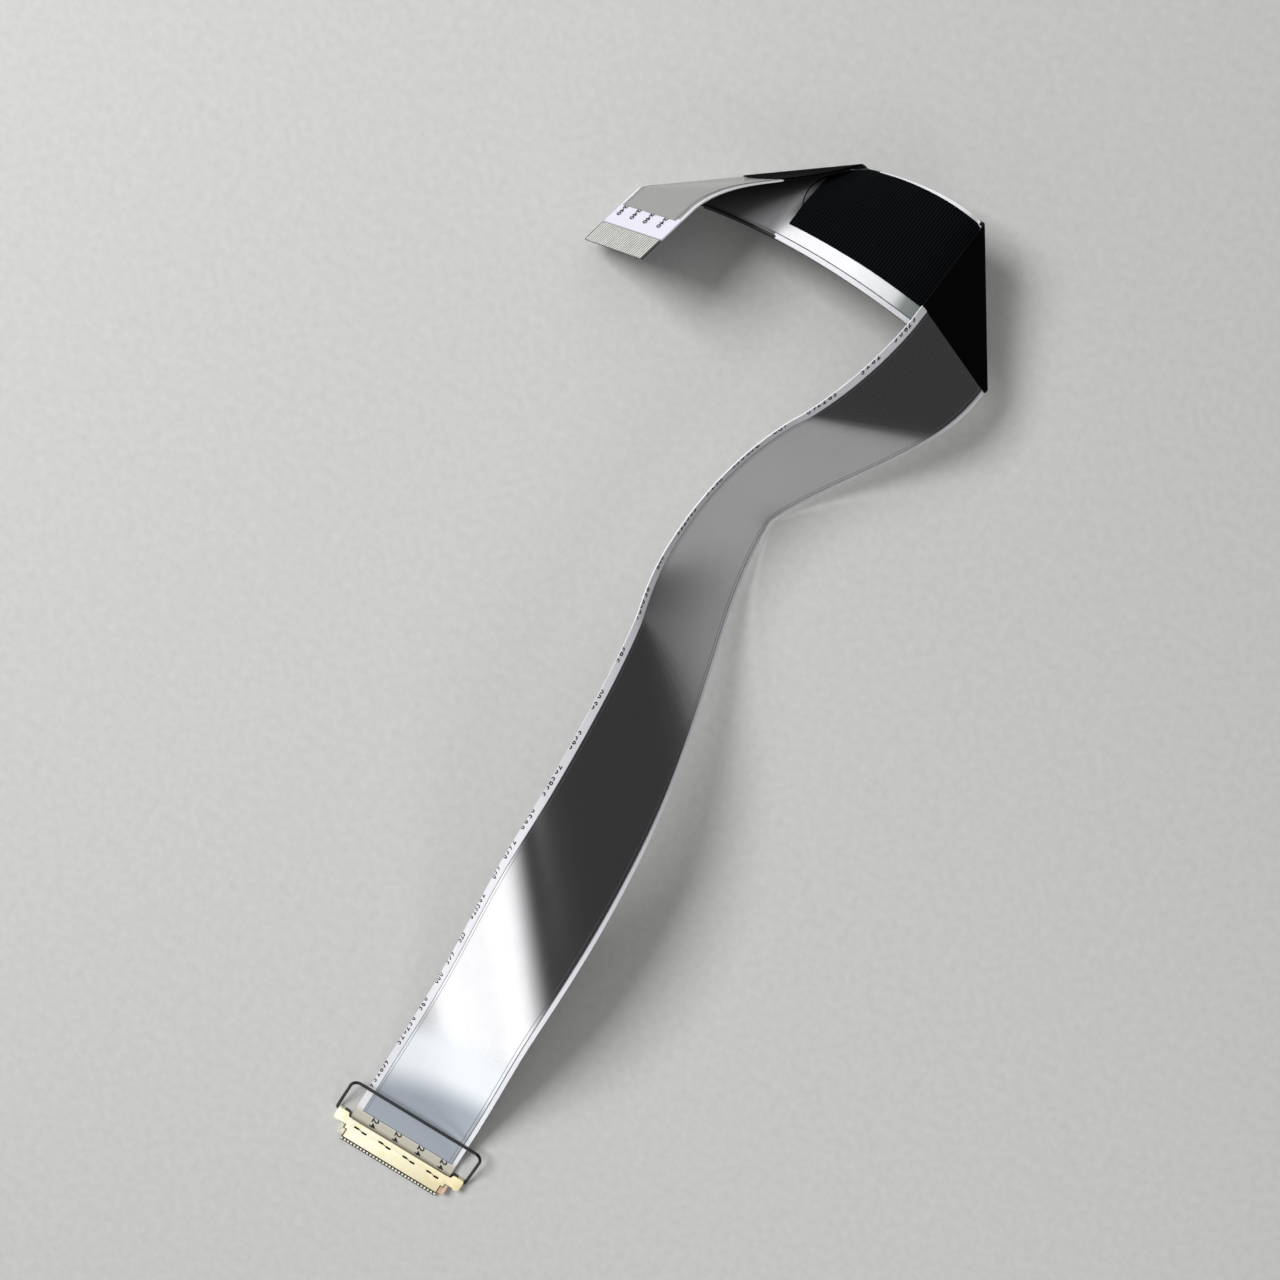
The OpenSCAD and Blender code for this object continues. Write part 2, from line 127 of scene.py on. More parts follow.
SHARP_BEND, SHARP_CORNER, SHARP_EASED = 0.9, 0.6, 0.7  # edge angles in radians

# The camera, in degrees and in metres along its own axes.
CAMERA_TILT, CAMERA_TURN = -4.83, 32.13
CAMERA_PLACE = (0.03214, 0.06774, 0.24105)
BACKDROP = 0.6  # level of the pale background that the camera sees


# --------------------------------------------------------------------------
# Settings
# --------------------------------------------------------------------------


class RibbonSettings(PropertyGroup):
    """Sizes of the ribbon and of what is laminated on it."""

    width: FloatProperty(
        name="Width", description="Width of the ribbon", default=15.5 * MM, unit="LENGTH",
        precision=5)
    length: FloatProperty(
        name="Length", description="From the plug to the bare end", default=199.5 * MM,
        unit="LENGTH", precision=4)
    thick: FloatProperty(
        name="Thickness", description="Thickness of the white ribbon", default=0.2 * MM,
        unit="LENGTH", precision=6)
    film: FloatProperty(
        name="Film", description="Thickness of a shield film", default=0.06 * MM, unit="LENGTH",
        precision=6)
    tape: FloatProperty(
        name="Tape", description="Thickness of a cloth tape", default=0.14 * MM, unit="LENGTH",
        precision=6)
    pitch: FloatProperty(
        name="Pitch", description="Distance between contacts", default=0.5 * MM, unit="LENGTH",
        precision=5)
    contacts: IntProperty(name="Contacts", description="Number of contacts", default=30, min=2)
    rib_pitch: FloatProperty(
        name="Rib pitch", description="Distance between the ribs of the cloth tape",
        default=0.372 * MM, unit="LENGTH", precision=6)


class FinishSettings(PropertyGroup):
    """Colours of the finishes."""

    film: FloatVectorProperty(
        name="Shield film", description="Colour of the shield films", subtype="COLOR", size=4,
        min=0, max=1, default=(0.55, 0.55, 0.56, 1))
    white: FloatVectorProperty(
        name="White ribbon", description="Colour of the ribbon", subtype="COLOR", size=4, min=0,
        max=1, default=(0.78, 0.78, 0.82, 1))
    cloth: FloatVectorProperty(
        name="Cloth tape", description="Colour of the ribbed tape", subtype="COLOR", size=4, min=0,
        max=1, default=(0.001, 0.0013, 0.0016, 1))
    wrap: FloatVectorProperty(
        name="Wrap tape", description="Colour of the tape round the folds", subtype="COLOR",
        size=4, min=0, max=1, default=(0.002, 0.002, 0.002, 1))
    gold: FloatVectorProperty(
        name="Shell", description="Colour of the plated shell", subtype="COLOR", size=4, min=0,
        max=1, default=(0.98, 0.96, 0.78, 1))
    copper: FloatVectorProperty(
        name="Lugs", description="Colour of the latch lugs", subtype="COLOR", size=4, min=0, max=1,
        default=(0.9, 0.64, 0.48, 1))
    insulator: FloatVectorProperty(
        name="Insulator", description="Colour of the moulded body", subtype="COLOR", size=4, min=0,
        max=1, default=(0.035, 0.03, 0.014, 1))
    wire: FloatVectorProperty(
        name="Wire", description="Colour of the pull bar", subtype="COLOR", size=4, min=0, max=1,
        default=(0.05, 0.05, 0.055, 1))
    ink: FloatVectorProperty(
        name="Ink", description="Colour of the print", subtype="COLOR", size=4, min=0, max=1,
        default=(0.01, 0.01, 0.012, 1))
    floor: FloatVectorProperty(
        name="Floor", description="Colour of the floor", subtype="COLOR", size=4, min=0, max=1,
        default=(0.56, 0.56, 0.55, 1))


class StageSettings(PropertyGroup):
    """Camera and lamps."""

    lens: FloatProperty(
        name="Lens", description="Focal length of the camera", default=50.6, unit="CAMERA")
    key_power: FloatProperty(
        name="Key", description="Power of the soft panel", default=3.3, unit="POWER")
    fill_power: FloatProperty(
        name="Fill", description="Power of the small panel near the plug", default=0.055,
        unit="POWER")
    side_window: FloatProperty(
        name="Side window", description="Light of the low window at the left", default=1.9, min=0)
    top_window: FloatProperty(
        name="Top window", description="Light of the high window behind", default=1.8, min=0)
    ceiling_glow: FloatProperty(
        name="Ceiling", description="Light of the patch of ceiling overhead", default=1.2, min=0)
    room: FloatProperty(
        name="Room", description="Light of the rest of the room", default=0.065, min=0)
    spread: FloatProperty(
        name="Spread", description="Share of the room's light that falls on matt surfaces",
        default=0.4, min=0, max=1)


# --------------------------------------------------------------------------
# The folded strip
# --------------------------------------------------------------------------


def lookup(at, table):
    """Value of a table at a place, straight between its entries."""
    return float(np.interp(at, [k for k, _ in table], [x for _, x in table]))


def run(start, step, count, lean, curl, base=0):
    """Bend lines (s, lean, degrees) of one gently curved stretch."""
    places = [start + i * step for i in range(count)]
    return [(s, lookup(s - base, lean), lookup(s - base, curl) * step) for s in places]


def fold(at, skew, turn):
    """Bend lines of one tight fold."""
    lean = math.tan(math.radians(skew))
    return [(at + FOLD_REACH * (2 * (i + 0.5) / FOLD_LINES - 1), lean, -turn / FOLD_LINES)
            for i in range(FOLD_LINES)]


def finer(lines):
    """Each bend shared among lines that fan between it and its neighbours."""
    out = []
    for i, (s, lean, turn) in enumerate(lines):
        share = turn / FINER
        for k in range(-(FINER // 2), FINER // 2 + 1):
            j = min(max(i + (k > 0) - (k < 0), 0), len(lines) - 1)
            f = abs(k) / FINER
            other = lines[j] if j != i else (s + k * END_FAN, lean, 0)
            out.append((s + (other[0] - s) * f, lean + (other[1] - lean) * f, share))
    return out


class Strip:
    """The ribbon's flat pattern, and where each point of it lies once bent."""

    def __init__(self, length):
        mid, tail = FOLD_1 + PAST_FOLD, FOLD_2 + PAST_FOLD
        mid_step = (FOLD_2 - BEFORE_FOLD - mid) / (PANEL_BENDS - 1)
        tail_step = (TAIL_END - tail) / (PANEL_BENDS - 1)
        lines = (
            [(-SEAT - 1, 0, 0), (0, 0, 0)]
            + finer(run(RISE_START, RISE_STEP, RISE_BENDS, RISE_LEAN, RISE_CURL))
            + [(RISE_END, 0, 0)]
            + fold(FOLD_1, FOLD_1_SKEW, FOLD_1_TURN)
            + finer(run(mid, mid_step, PANEL_BENDS, MID_LEAN, MID_CURL, FOLD_1))
            + fold(FOLD_2, FOLD_2_SKEW, FOLD_2_TURN)
            + finer(run(tail, tail_step, PANEL_BENDS, TAIL_LEAN, TAIL_CURL, FOLD_2))
            + [(TAIL_FLAT, 0, 0), (length + 1, 0, 0)]
        )
        self.s = np.array([line[0] for line in lines])
        self.lean = np.array([line[1] for line in lines])
        across, along = Vector((1, 0, 0)), Vector((0, 1, 0))
        point, last = Vector((0, self.s[0], RIBBON_LEVEL)), self.s[0]
        points, rules, mitres, ups = [], [], [], []
        for s, lean, turn in lines:
            point = point + along * (s - last)
            last = s
            rule = across + along * lean
            before = across.cross(along)
            spin = Matrix.Rotation(math.radians(turn), 3, rule.normalized())
            across, along = spin @ across, spin @ along
            after = across.cross(along)
            points.append(point)
            rules.append(rule)
            mitres.append((before + after) / (1 + before.dot(after)))
            ups.append(after)
        self.points, self.rules = np.array(points), np.array(rules)
        self.mitres, self.ups = np.array(mitres), np.array(ups)

    def place(self, v, s, d):
        """The point v across, s along and d above the middle, in metres once bent."""
        reach = self.s + self.lean * v
        i = int(np.searchsorted(reach, s + 1e-5, side="right")) - 1
        i = min(max(i, 0), len(reach) - 2)
        f = (s - reach[i]) / (reach[i + 1] - reach[i])
        a = self.points[i] + self.rules[i] * v
        if abs(f) < 1e-4:
            return Vector(a + self.mitres[i] * d) * MM
        b = self.points[i + 1] + self.rules[i + 1] * v
        return Vector(a + (b - a) * f + self.ups[i] * d) * MM


def settings():
    """The ribbon's sizes, in metres."""
    return bpy.context.scene.flex_ribbon


def finishes():
    """The colours."""
    return bpy.context.scene.flex_finish


def strip():
    """The strip at the ribbon's length, made once."""
    if not hasattr(strip, "made"):
        strip.made = Strip(settings().length / MM)
    return strip.made


# --------------------------------------------------------------------------
# Mesh helpers
# --------------------------------------------------------------------------


def new_piece(bm, name):
    """An object at the origin with the mesh that was built."""
    mesh = bpy.data.meshes.new(name)
    bm.to_mesh(mesh)
    bm.free()
    piece = bpy.data.objects.new(name, mesh)
    bpy.context.scene.collection.objects.link(piece)
    return piece


def add_slab(bm, v0, v1, s0, s1, d0, d1):
    """A flat slab of the pattern, in millimetres: x across, y along, z above."""
    made = bmesh.ops.create_cube(bm, size=1)["verts"]
    bmesh.ops.scale(bm, vec=(v1 - v0, s1 - s0, d1 - d0), verts=made)
    bmesh.ops.translate(bm, vec=((v0 + v1) / 2, (s0 + s1) / 2, (d0 + d1) / 2), verts=made)
    return made


def cut_line(bm, s, lean, clear=False):
    """Cuts the pattern along the line across it at s, and may take off what is past it."""
    geom = bm.verts[:] + bm.edges[:] + bm.faces[:]
    found = bmesh.ops.bisect_plane(bm, geom=geom, dist=1e-5, plane_co=(0, s, 0),
                                   plane_no=(-lean, 1, 0), clear_outer=clear)
    if clear:
        rim = [e for e in found["geom_cut"] if isinstance(e, bmesh.types.BMEdge)]
        bmesh.ops.contextual_create(bm, geom=rim)


def cut_across(bm, v, clear=False):
    """Cuts the pattern lengthwise at v, and may take off what lies outside it."""
    geom = bm.verts[:] + bm.edges[:] + bm.faces[:]
    found = bmesh.ops.bisect_plane(bm, geom=geom, dist=1e-5, plane_co=(v, 0, 0),
                                   plane_no=(-1, 0, 0), clear_outer=clear)
    if clear:
        rim = [e for e in found["geom_cut"] if isinstance(e, bmesh.types.BMEdge)]
        bmesh.ops.holes_fill(bm, edges=rim)


def faces_of(verts):
    """The faces that meet at some vertices, each once and always in the same order."""
    return list(dict.fromkeys(face for vert in verts for face in vert.link_faces))


def add_text(bm, text, size, v, s, level, turn):
    """Raised digits on the pattern, starting at v, s and reading at an angle."""
    curve = bpy.data.curves.new("digits", "FONT")
    curve.body, curve.size, curve.resolution_u = text, size, 2
    curve.offset = 0.02 * size  # bolder strokes
    holder = bpy.data.objects.new("digits", curve)
    mesh = bpy.data.meshes.new_from_object(holder)
    old = set(bm.verts)
    bm.from_mesh(mesh)
    for block, store in ((holder, bpy.data.objects), (curve, bpy.data.curves),
                         (mesh, bpy.data.meshes)):
        store.remove(block)
    made = [vert for vert in bm.verts if vert not in old]
    top = bmesh.ops.extrude_face_region(bm, geom=faces_of(made))["geom"]
    raised = [g for g in top if isinstance(g, bmesh.types.BMVert)]
    bmesh.ops.translate(bm, vec=(0, 0, INK_THICK), verts=raised)
    made = [vert for vert in bm.verts if vert not in old]
    bmesh.ops.recalc_face_normals(bm, faces=faces_of(made))
    matrix = Matrix.Translation((v, s, level)) @ Matrix.Rotation(math.radians(turn), 4, "Z")
    bmesh.ops.transform(bm, matrix=matrix, verts=made)


def cut_bends(bm, extra=()):
    """Cuts the pattern along every bend line that crosses it."""
    lo = min(v.co.y for v in bm.verts)
    hi = max(v.co.y for v in bm.verts)
    half = settings().width / MM / 2
    at = strip()
    for s, lean in zip(at.s, at.lean):
        if lo - half * abs(lean) < s < hi + half * abs(lean):
            cut_line(bm, s, lean)
    for s, lean in extra:
        cut_line(bm, s, lean)


def bend(bm, name, lift=None):
    """Marks the pattern's edges sharp, keeps it as UV, and bends it."""
    bm.normal_update()
    for edge in bm.edges:
        edge.smooth = edge.is_manifold and edge.calc_face_angle(0) < SHARP_BEND
    uv = bm.loops.layers.uv.new("pattern")
    for face in bm.faces:
        face.smooth = True
        for loop in face.loops:
            loop[uv].uv = (loop.vert.co.x, loop.vert.co.y)
    at = strip()
    for vert in bm.verts:
        v, s, d = vert.co
        vert.co = at.place(v, s, d + (lift(v, s, d) if lift else 0))
    return new_piece(bm, name)


def eased_copy(source, name, radius):
    """A merged copy of a CAD node with its sharp edges rounded off."""
    bm = bmesh.new()
    bm.from_mesh(source.data)
    bmesh.ops.remove_doubles(bm, verts=bm.verts[:], dist=1e-7)
    bmesh.ops.dissolve_limit(bm, angle_limit=math.radians(1), verts=bm.verts[:],
                             edges=bm.edges[:])
    if radius:
        sharp = [e for e in bm.edges if e.is_manifold and e.calc_face_angle(0) > SHARP_CORNER]
        bmesh.ops.bevel(bm, geom=sharp, offset=radius * MM, affect="EDGES", segments=2,
                        profile=0.5, material=-1, clamp_overlap=True)
    for face in bm.faces:
        face.smooth = True
    for edge in bm.edges:
        edge.smooth = edge.is_manifold and edge.calc_face_angle(0) < SHARP_EASED
    return new_piece(bm, name)


def finish_piece(piece, material, body, slot, *nodes):
    """Gives a piece its material, the body it rides on and the nodes it stands for."""
    piece.data.materials.clear()
    piece.data.materials.append(material)
    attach(piece, body)
    if nodes:
        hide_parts(*nodes)
    return piece


# --------------------------------------------------------------------------
# Materials
# --------------------------------------------------------------------------


def add(tree, kind, values=(), **properties):
    """A node with its properties set and its inputs set or linked."""
    node = tree.nodes.new("ShaderNode" + kind)
    for key, value in properties.items():
        setattr(node, key, value)
    for socket, source in dict(values).items():
        if isinstance(source, bpy.types.NodeSocket):
            tree.links.new(source, node.inputs[socket])
        else:
            node.inputs[socket].default_value = source
    return node


def maths(tree, operation, *terms):
    """The result of one sum on values."""
    return add(tree, "Math", dict(enumerate(terms)), operation=operation).outputs[0]


def ranged(tree, value, start, stop, low=0.0, high=1.0, smooth=False):
    """Low where the value is at start, high where it is at stop, and even between."""
    limits = {"From Min": start, "From Max": stop, "To Min": low, "To Max": high}
    node = add(tree, "MapRange", {"Value": value, **limits},
               interpolation_type="SMOOTHSTEP" if smooth else "LINEAR")
    return node.outputs[0]


def mixed(tree, share, first, second):
    """The colour that is the first at a share of 0 and the second at 1."""
    node = add(tree, "Mix", {"Factor": share, 6: first, 7: second}, data_type="RGBA")
    return node.outputs[2]


def scaled(colour, share):
    """The colour times a share, opaque."""
    return [c * share for c in colour[:3]] + [1]


def patina_group():
    """Handling marks: soft smudges and fine scratches, as a mask and a height."""
    group = bpy.data.node_groups.get("Handling marks")
    if group:
        return group
    group = bpy.data.node_groups.new("Handling marks", "ShaderNodeTree")
    for label, value in (("Scale", 60.0), ("Stretch", 6.0), ("Amount", 0.5)):
        socket = group.interface.new_socket(label, in_out="INPUT", socket_type="NodeSocketFloat")
        socket.default_value = value
    for label in ("Mask", "Height"):
        group.interface.new_socket(label, in_out="OUTPUT", socket_type="NodeSocketFloat")
    into, out = group.nodes.new("NodeGroupInput"), group.nodes.new("NodeGroupOutput")
    scale, stretch = into.outputs["Scale"], into.outputs["Stretch"]
    place = add(group, "TexCoord").outputs["Object"]
    smudge = add(group, "TexNoise", {"Vector": place, "Scale": scale, "Detail": 4.0})
    long_way = add(group, "CombineXYZ", {"X": stretch, "Y": 1.0, "Z": stretch})
    stretched = add(group, "VectorMath", {0: place, 1: long_way.outputs[0]}, operation="MULTIPLY")
    fine = add(group, "TexNoise", {"Vector": stretched.outputs[0], "Scale": scale,
                                   "Detail": 6.0, "Roughness": 0.7})
    both = maths(group, "MULTIPLY", smudge.outputs[0], fine.outputs[0])
    mask = maths(group, "MULTIPLY", both, into.outputs["Amount"])
    group.links.new(mask, out.inputs["Mask"])
    group.links.new(fine.outputs[0], out.inputs["Height"])
    return group


def handled(tree, scale, stretch, amount):
    """The handling marks of one material."""
    values = {"Scale": scale, "Stretch": stretch, "Amount": amount}
    return add(tree, "Group", values, node_tree=patina_group())


def dulled(tree, shader, marks, low, high):
    """Takes the roughness from low to high where the handling marks are."""
    rough = ranged(tree, marks.outputs["Mask"], 0.0, 1.0, low, high)
    tree.links.new(rough, shader.inputs["Roughness"])


def bump(tree, shader, height, distance, strength):
    """Relief too fine for the mesh."""
    node = add(tree, "Bump", {"Height": height, "Distance": distance, "Strength": strength})
    tree.links.new(node.outputs["Normal"], shader.inputs["Normal"])


def new_material(name):
    """A material with its tree and its principled shader."""
    material = bpy.data.materials.new(name)
    material.use_nodes = True
    tree = material.node_tree
    return material, tree, tree.nodes["Principled BSDF"]


def on_pattern(tree):
    """The place on the flat strip in millimetres, as across and along it."""
    pattern = add(tree, "UVMap", uv_map="pattern")
    split = add(tree, "SeparateXYZ", {0: pattern.outputs["UV"]})
    return split.outputs["X"], split.outputs["Y"]


def film_material(name, zones):
    """Silver shield film: smooth foil, matt in zones whose colours are painted reflections and
    painted shade (full, none, slant, share, colour).
    """
    material, tree, shader = new_material(name)
    film = finishes().film
    smear = handled(tree, 90.0, 8.0, 1.0).outputs["Mask"]
    tone = mixed(tree, smear, film, scaled(film, 0.86))
    across, along = on_pattern(tree)
    colour, haze = tone, 0.0
    for full, none, slant, share, shade in zones:
        at = maths(tree, "ADD", along, maths(tree, "MULTIPLY", across, slant))
        there = ranged(tree, at, none, full, smooth=True)
        # The zone colours are painted light and shade: they stand in for what the foil would
        # mirror there.
        colour = mixed(tree, there, colour, mixed(tree, share, tone, shade))
        haze = add(tree, "Mix", {0: there, 2: haze, 3: share}, data_type="FLOAT").outputs[0]
    rough = maths(tree, "ADD", ranged(tree, smear, 0.0, 1.0, 0.15, 0.24),
                  maths(tree, "MULTIPLY", haze, 0.25))
    tree.links.new(colour, shader.inputs["Base Color"])
    tree.links.new(ranged(tree, haze, 0.0, 1.0, 1.0, 0.0), shader.inputs["Metallic"])
    tree.links.new(rough, shader.inputs["Roughness"])
    return material


def ribbon_material():
    """White ribbon: beige under the plug's glue, painted shadow by the shell's edge, lilac at the
    bare end, painted shade along its cut end, worn grain.
    """
    material, tree, shader = new_material("white_film")
    marks = handled(tree, 300.0, 4.0, 0.9)
    white = finishes().white
    colour = mixed(tree, marks.outputs["Mask"], white, scaled(white, 0.85))
    across, along = on_pattern(tree)
    for start, stop, edge, shade in RIM_ZONES:
        rise = ranged(tree, along, start - 0.1, start)
        fall = ranged(tree, along, stop + 0.1, stop)
        rim = ranged(tree, across, edge - math.copysign(0.05, edge), edge)
        there = maths(tree, "MULTIPLY", maths(tree, "MULTIPLY", rise, fall), rim)
        colour = mixed(tree, there, colour, shade)
    end = settings().length / MM
    for none, full, shade in (
        (2.2, 1.4, (0.52, 0.5, 0.42, 1)),
        # Painted shadow of the shell's edge: dark olive right beside the plug.
        (0.7, 0.1, (0.16, 0.14, 0.09, 1)),
        (end - 7, end - FILM_END_GAP, (0.72, 0.7, 0.8, 1)),
        (end - 3.5, end - STRIP_LENGTH, (0.06, 0.058, 0.048, 1)),
        # Painted shade: a dark line along the cut end.
        (end - 0.16, end - 0.1, (0.03, 0.03, 0.03, 1)),
    ):
        colour = mixed(tree, ranged(tree, along, none, full), colour, shade)
    tree.links.new(colour, shader.inputs["Base Color"])
    dulled(tree, shader, marks, 0.3, 0.45)
    return material


def cloth_material():
    """Black ribbed cloth: a painted highlight on the crests of the ribs, crossed by a fine weave.
    """
    material, tree, shader = new_material("cloth_tape")
    across, along = on_pattern(tree)
    straight = maths(tree, "SUBTRACT", along, maths(tree, "MULTIPLY", across, RIB_LEAN))
    phase = maths(tree, "MULTIPLY", straight, 2 * math.pi / (settings().rib_pitch / MM))
    crest = ranged(tree, maths(tree, "COSINE", phase), -0.1, -1.0)
    thread = maths(tree, "COSINE", maths(tree, "MULTIPLY", across, 2 * math.pi / THREAD_PITCH))
    # Painted highlight on the rib crests, broken up by the threads; the same mask raises the bump.
    lit = maths(tree, "MULTIPLY", crest, ranged(tree, thread, -1.0, 1.0, 0.6, 1.0))
    tone = mixed(tree, lit, finishes().cloth, (0.009, 0.011, 0.013, 1))
    tree.links.new(tone, shader.inputs["Base Color"])
    dulled(tree, shader, handled(tree, 500.0, 1.0, 1.0), 0.6, 0.85)
    shader.inputs["Specular IOR Level"].default_value = 0.03
    bump(tree, shader, lit, 0.00003, 0.5)
    return material


def shell_material():
    """Plated shell: pale at one end and warmer gold at the other, with soft blotches."""
    material, tree, shader = new_material("gold_shell")
    place = add(tree, "TexCoord").outputs["Object"]
    split = add(tree, "SeparateXYZ", {0: place})
    warm = ranged(tree, split.outputs["X"], -0.006, 0.009)
    red, green, blue = finishes().gold[:3]
    plate = mixed(tree, warm, finishes().gold, (red * 0.96, green * 0.86, blue * 0.66, 1))
    blotch = add(tree, "TexNoise", {"Vector": place, "Scale": 900.0, "Detail": 3.0})
    patch = ranged(tree, blotch.outputs[0], 0.5, 0.8)
    tone = mixed(tree, patch, plate, (red * 0.96, green * 0.9, blue * 0.6, 1))
    tree.links.new(tone, shader.inputs["Base Color"])
    marks = handled(tree, 600.0, 3.0, 1.2)
    dulled(tree, shader, marks, 0.3, 0.5)
    shader.inputs["Metallic"].default_value = 0.08
    bump(tree, shader, marks.outputs["Height"], 0.00002, 0.3)
    return material


def contact_material():
    """Spring contacts: bright on their crests, with painted shade where they run into the body."""
    material, tree, shader = new_material("contact_metal")
    split = add(tree, "SeparateXYZ", {0: add(tree, "TexCoord").outputs["Object"]})
    # Painted shade where the contacts run into the body beside the shell's edge.
    root = ranged(tree, split.outputs["Y"], -0.0029, -0.00282)
    tone = mixed(tree, root, (1, 0.97, 0.85, 1), (0.06, 0.05, 0.02, 1))
    tree.links.new(tone, shader.inputs["Base Color"])
    dulled(tree, shader, handled(tree, 900.0, 1.0, 1.0), 0.3, 0.45)
    shader.inputs["Metallic"].default_value = 0.3
    return material


def lug_material():
    """Latch lugs: gold on one side of the plug and copper on the other."""
    material, tree, shader = new_material("lugs")
    split = add(tree, "SeparateXYZ", {0: add(tree, "TexCoord").outputs["Object"]})
    side = ranged(tree, split.outputs["X"], -0.001, 0.001)
    pair = mixed(tree, side, finishes().gold, finishes().copper)
    marks = handled(tree, 900.0, 2.0, 1.4)
    tone = mixed(tree, marks.outputs["Mask"], pair, (0.3, 0.2, 0.12, 1))
    tree.links.new(tone, shader.inputs["Base Color"])
    dulled(tree, shader, marks, 0.35, 0.55)
    shader.inputs["Metallic"].default_value = 0.15
    return material


def plain_metal(name, colour, low, high, metallic=1.0):
    """A metal whose roughness wanders from low to high with handling marks."""
    material, tree, shader = new_material(name)
    marks = handled(tree, 400.0, 3.0, 1.4)
    tone = mixed(tree, marks.outputs["Mask"], colour, scaled(colour, 0.6))
    tree.links.new(tone, shader.inputs["Base Color"])
    dulled(tree, shader, marks, low, high)
    shader.inputs["Metallic"].default_value = metallic
    bump(tree, shader, marks.outputs["Height"], 0.00001, 0.3)
    return material


def plastic(name, colour, roughness, gloss=0.5):
    """Plain plastic film or moulding with a faint grain."""
    material, tree, shader = new_material(name)
    marks = handled(tree, 500.0, 1.0, 0.8)
    tone = mixed(tree, marks.outputs["Mask"], colour, scaled(colour, 0.8))
    tree.links.new(tone, shader.inputs["Base Color"])
    dulled(tree, shader, marks, roughness, roughness + 0.15)
    shader.inputs["Specular IOR Level"].default_value = gloss
    bump(tree, shader, marks.outputs["Height"], 0.00001, 0.3)
    return material


# --------------------------------------------------------------------------
# Pieces
# --------------------------------------------------------------------------


class FLEX_OT_ribbon(Operator):
    """Build the white ribbon"""

    bl_idname = "flex.ribbon"
    bl_label = "White ribbon"

    def execute(self, context):
        look = settings()
        half, thick, length = look.width / MM / 2, look.thick / MM / 2, look.length / MM
        bm = bmesh.new()
        add_slab(bm, -half, half, -SEAT, length, -thick, thick)
        cut_bends(bm)
        piece = bend(bm, "white_ribbon")
        finish_piece(piece, ribbon_material(), "cable", "white_film", "ribbon")
        at = strip()
        middle = [at.place(0, i * length / PATH_STEPS, 0) for i in range(PATH_STEPS + 1)]
        return {"FINISHED"}


class FLEX_OT_shields(Operator):
    """Build the silver shield films on both sides of the ribbon"""

    bl_idname = "flex.shields"
    bl_label = "Shield films"

    def execute(self, context):
        look = settings()
        half, thick, film = look.width / MM / 2, look.thick / MM / 2, look.film / MM
        # Matt zones whose colour is painted reflection and painted shade: fully from, not yet at,
        # slant across, share, colour.
        printed = film_material("shield_film", (
            # Painted reflection: a near-white matt zone near the plug stands in for the bright
            # window mirrored there.
            (16.0, 22.0, -0.35, 0.9, (0.84, 0.88, 0.92, 1)),
            # Painted reflection: darker blue-grey nearest the plug.
            (7.5, 13.0, -0.35, 0.9, (0.33, 0.37, 0.43, 1)),
            # Painted shade: the film on the tail dulled to a darker olive grey.
            (178.0, 172.0, 0.0, 0.3, (0.3, 0.3, 0.26, 1)),
        ))
        plain = film_material("shield_film_plain", (
            # Painted shade: dark grey film near the second fold, under the tail.
            (170.5, 168.2, 0.0, 0.8, (0.08, 0.08, 0.085, 1)),
            # Painted reflection: a near-white band between the folds.
            (157.0, 161.0, 0.0, 0.9, (0.84, 0.86, 0.88, 1)),
            # Painted reflection: grey-green film next to the first fold.
            (150.8, 152.8, 0.0, 0.9, (0.24, 0.27, 0.25, 1)),
            (132.0, 135.5, 0.0, 0.0, finishes().film),
        ))
        for name, node, silver, low, high in (
            ("film_printed_side", "shield_top", printed, thick, thick + film),
            ("film_plain_side", "shield_under", plain, -thick - film, -thick),
        ):
            bm = bmesh.new()
            add_slab(bm, -half + PRINT_MARGIN, half - PLAIN_MARGIN,
                     FILM_START, look.length / MM - FILM_END_GAP, low, high)
            cut_bends(bm)
            finish_piece(bend(bm, name), silver, "cable", "shield_film", node)
        return {"FINISHED"}


